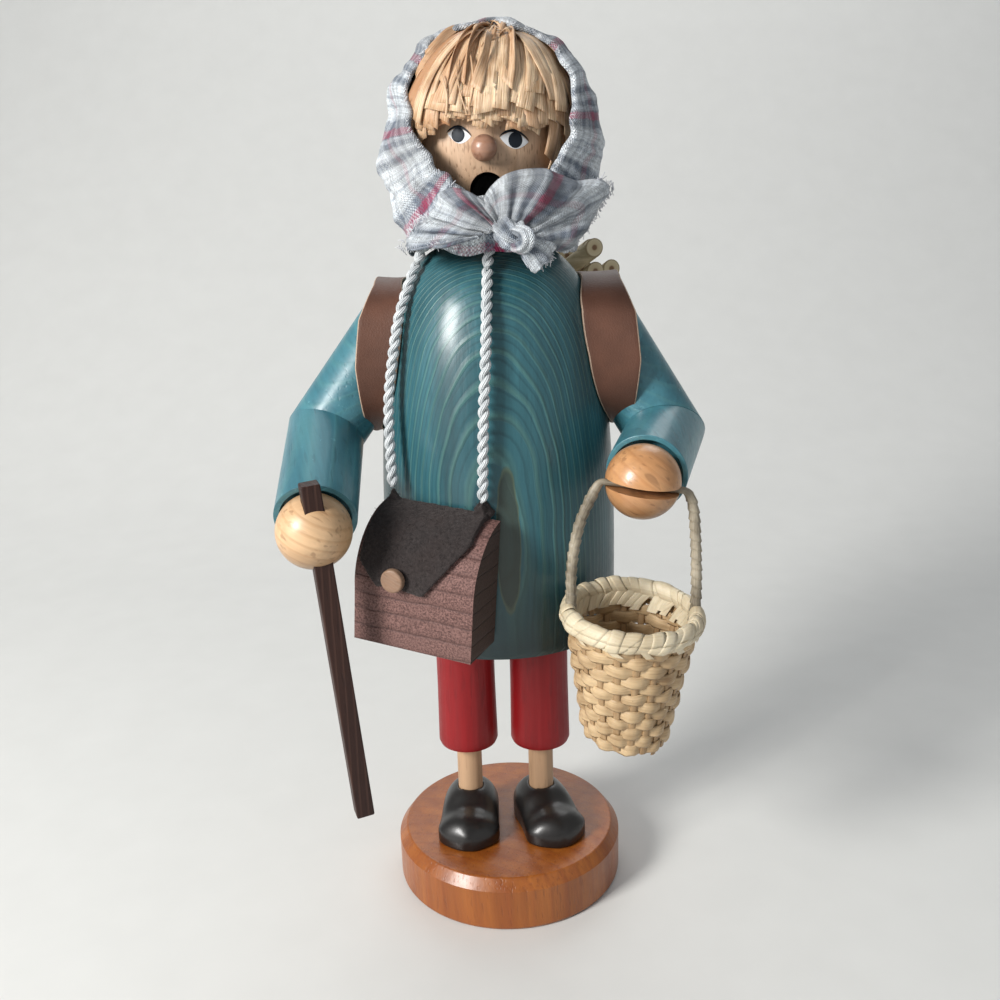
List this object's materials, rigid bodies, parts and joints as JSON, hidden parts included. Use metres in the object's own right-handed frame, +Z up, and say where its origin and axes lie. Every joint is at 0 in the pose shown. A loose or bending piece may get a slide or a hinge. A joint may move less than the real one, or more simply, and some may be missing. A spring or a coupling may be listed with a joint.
{
  "type": "incense smoker figure",
  "caption": "Turned wooden incense smoker: a walker in a long coat and kerchief with shoulder bag, stick and basket; lifts off its legs for the incense cone.",
  "frame": {"origin": "centre of the base disc's underside, on the surface that the figure stands on", "axes": "+Z up, -Y out of the face towards the viewer, +X to the viewer's right (the figure's left)"},
  "size_m": [0.0976, 0.0983, 0.2078],
  "materials": {
    "lacquered_beech": "gloss lacquer over orange-brown beech",
    "plain_beech": "bare beech, matt",
    "black_lacquer": "gloss black lacquer",
    "red_stain": "red stain, satin",
    "teal_stain": "teal stain, gloss lacquer",
    "brass": "pressed sheet",
    "steel": "bright nail",
    "hand_beech": "bare beech, satin",
    "face_beech": "bare beech, satin, painted eyes",
    "dark_stain": "dark brown stain, matt",
    "raffia": "blond raffia",
    "check_cotton": "white, grey and magenta checked cotton",
    "silver_cord": "silver-white twisted cord",
    "mauve_stain": "mauve stain, sawn texture",
    "dark_felt": "near-black brown felt",
    "button_beech": "bare wood",
    "brown_leather": "brown leather, raw edge",
    "peeled_sticks": "greenish beige rods",
    "rattan": "pale rattan, matt"
  },
  "bodies": {
    "stand": {"base_disc": "lacquered_beech", "left_shoe": "black_lacquer", "right_shoe": "black_lacquer", "left_ankle_dowel": "plain_beech", "right_ankle_dowel": "plain_beech", "left_trouser_leg": "red_stain", "right_trouser_leg": "red_stain", "hem_plate": "plain_beech", "incense_tray": "brass", "tray_nail": "steel"},
    "figure": {"coat_body": "teal_stain", "shoulder_dowels": "plain_beech", "left_upper_arm": "teal_stain", "right_upper_arm": "teal_stain", "left_forearm": "teal_stain", "right_forearm": "teal_stain", "elbow_dowels": "plain_beech", "wrist_dowels": "plain_beech", "left_hand": "hand_beech", "right_hand": "hand_beech", "head": "face_beech", "nose": "face_beech", "hair_fringe": "raffia", "hair_left": "raffia", "hair_right": "raffia", "kerchief": "check_cotton", "kerchief_knot": "check_cotton", "bag_neck_cord": "silver_cord", "left_strap": "brown_leather", "right_strap": "brown_leather", "carrying_board": "plain_beech", "stick_bundle": "peeled_sticks", "bundle_ties": "raffia"},
    "bag": {"bag_cord_left": "silver_cord", "bag_cord_right": "silver_cord", "bag_block": "mauve_stain", "bag_flap": "dark_felt", "bag_button": "button_beech"},
    "stick": {"walking_stick": "dark_stain"},
    "basket": {"basket_rim": "rattan", "basket_wall": "rattan", "basket_bottom": "rattan", "basket_handle": "rattan"}
  },
  "joints": [
    {"name": "body_lift", "type": "slide", "parent": "stand", "child": "figure", "axis": [0, 0, 1], "range_m": [0, 0.07]},
    {"name": "basket_swing", "type": "hinge", "parent": "figure", "child": "basket", "pos_m": [0.0308, -0.0337, 0.1125], "axis": [0.9903, 0, -0.1392], "range_deg": [-40, 2]},
    {"name": "bag_swing", "type": "hinge", "parent": "figure", "child": "bag", "pos_m": [-0.0161, -0.0102, 0.158], "axis": [-0.8481, 0.5271, 0.054], "range_deg": [0, 3.2]},
    {"name": "stick_slide", "type": "slide", "parent": "figure", "child": "stick", "axis": [-0.0688, -0.056, 0.9961], "range_m": [-0.036, 0.055]}
  ]
}
